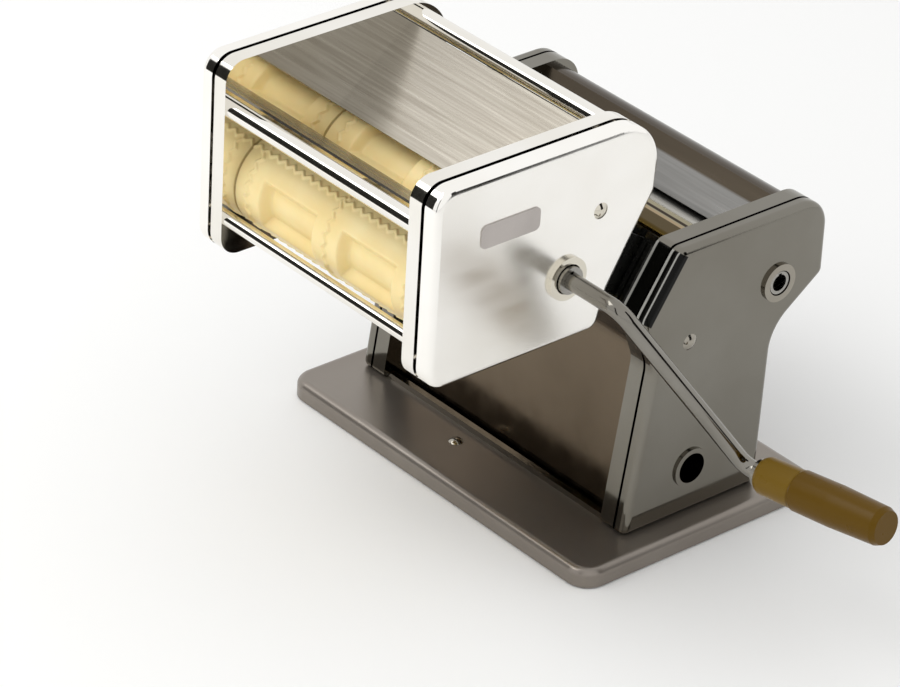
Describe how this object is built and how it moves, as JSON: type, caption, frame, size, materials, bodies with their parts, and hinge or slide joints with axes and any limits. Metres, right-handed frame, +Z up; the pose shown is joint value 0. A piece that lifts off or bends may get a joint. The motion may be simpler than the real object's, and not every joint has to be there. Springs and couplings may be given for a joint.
{
  "type": "pasta roller machine",
  "caption": "Hand-cranked pasta roller with a ravioli attachment on sloped rails: geared forming rollers under a hopper, bent crank with a turning grip, smooth rollers and a setting knob.",
  "frame": {"origin": "centre of the base on the table", "axes": "+X along the rollers towards the crank, +Y from the front to the back, +Z up"},
  "size_m": [0.363, 0.2385, 0.229],
  "materials": {
    "dark_chrome": "polished",
    "bright_chrome": "polished",
    "feed_steel": "satin",
    "black_plastic": "satin",
    "cream_plastic": "satin",
    "gear_plastic": "satin",
    "steel": "satin",
    "collar_steel": "polished",
    "roller_alloy": "satin",
    "label_grey": "satin",
    "grip_plastic": "gloss",
    "knob_plastic": "gloss",
    "rubber": "matte"
  },
  "bodies": {
    "machine_frame": {"base_plate": "dark_chrome", "base_screws": "steel", "cover_rivets": "steel", "drive_collar": "collar_steel", "end_cover_left": "dark_chrome", "end_cover_right": "dark_chrome", "foot_bar": "steel", "front_feed_plate": "feed_steel", "front_lip": "dark_chrome", "front_panel": "dark_chrome", "knob_bush": "collar_steel", "locating_holes": "collar_steel", "rail_left": "black_plastic", "rail_right": "black_plastic", "rear_feed_plate": "feed_steel", "rear_panel": "dark_chrome", "roller_bushes": "gear_plastic", "rubber_feet": "rubber", "scraper_front": "feed_steel", "scraper_rear": "feed_steel", "side_plate_left": "dark_chrome", "side_plate_right": "dark_chrome", "slant_plate": "black_plastic", "tie_rods": "steel"},
    "ravioli_attachment": {"attachment_cover_left": "bright_chrome", "attachment_cover_right": "bright_chrome", "attachment_plate_left": "bright_chrome", "attachment_plate_right": "bright_chrome", "bar_front_top": "bright_chrome", "bar_front_low": "bright_chrome", "bar_rear_top": "bright_chrome", "bar_rear_low": "bright_chrome", "hopper_wall_front": "feed_steel", "hopper_wall_rear": "feed_steel", "strippers": "feed_steel", "bracket_left": "black_plastic", "bracket_right": "black_plastic", "former_bushes": "gear_plastic", "attachment_collar": "collar_steel", "attachment_rivets": "steel", "bare_label_plate": "label_grey"},
    "rear_former_assembly": {"former_rear": "cream_plastic", "former_rear_shaft": "steel", "former_rear_gear": "gear_plastic"},
    "front_former_assembly": {"former_front": "cream_plastic", "former_front_shaft": "steel", "former_front_gear": "gear_plastic"},
    "crank": {"crank_rod": "steel"},
    "crank_grip": {"grip": "grip_plastic"},
    "drive_roller_assembly": {"drive_roller": "roller_alloy", "drive_shaft": "steel", "drive_gear": "gear_plastic"},
    "roller_carriage": {"bearing_block_left": "gear_plastic", "bearing_block_right": "gear_plastic"},
    "adjust_roller_assembly": {"adjust_roller": "roller_alloy", "adjust_shaft": "steel", "adjust_gear": "gear_plastic"},
    "knob_assembly": {"knob_shaft": "steel", "setting_knob": "knob_plastic"}
  },
  "joints": [
    {"name": "attachment_slide", "type": "slide", "parent": "machine_frame", "child": "ravioli_attachment", "axis": [0, 0.5401, 0.8416], "range_m": [0, 0.028]},
    {"name": "forming_rear_spin", "type": "hinge", "parent": "ravioli_attachment", "child": "rear_former_assembly", "pos_m": [0, -0.078, 0.161], "axis": [1, 0, 0], "continuous": true},
    {"name": "forming_front_spin", "type": "hinge", "parent": "ravioli_attachment", "child": "front_former_assembly", "pos_m": [0, -0.128, 0.161], "axis": [1, 0, 0], "continuous": true},
    {"name": "crank_pull", "type": "slide", "parent": "rear_former_assembly", "child": "crank", "axis": [1, 0, 0], "range_m": [0, 0.022]},
    {"name": "grip_spin", "type": "hinge", "parent": "crank", "child": "crank_grip", "pos_m": [0.156, -0.02, 0.073], "axis": [0.992, 0.0893, 0.0893], "continuous": true},
    {"name": "drive_roller_spin", "type": "hinge", "parent": "machine_frame", "child": "drive_roller_assembly", "pos_m": [0, 0.0488, 0.1227], "axis": [1, 0, 0], "continuous": true},
    {"name": "roller_gap", "type": "slide", "parent": "machine_frame", "child": "roller_carriage", "axis": [0, -1, 0], "range_m": [0, 0.0027]},
    {"name": "adjust_roller_spin", "type": "hinge", "parent": "roller_carriage", "child": "adjust_roller_assembly", "pos_m": [0, 0.0185, 0.1227], "axis": [1, 0, 0], "continuous": true},
    {"name": "knob_turn", "type": "hinge", "parent": "machine_frame", "child": "knob_assembly", "pos_m": [-0.11, 0.0185, 0.1227], "axis": [-1, 0, 0], "range_deg": [-3, 291]}
  ],
  "couplings": [
    {"joint": "forming_front_spin", "follows": "forming_rear_spin", "ratio": -1},
    {"joint": "adjust_roller_spin", "follows": "drive_roller_spin", "ratio": -1},
    {"joint": "knob_turn", "follows": "roller_gap", "rad_per_m": 1861.7}
  ]
}
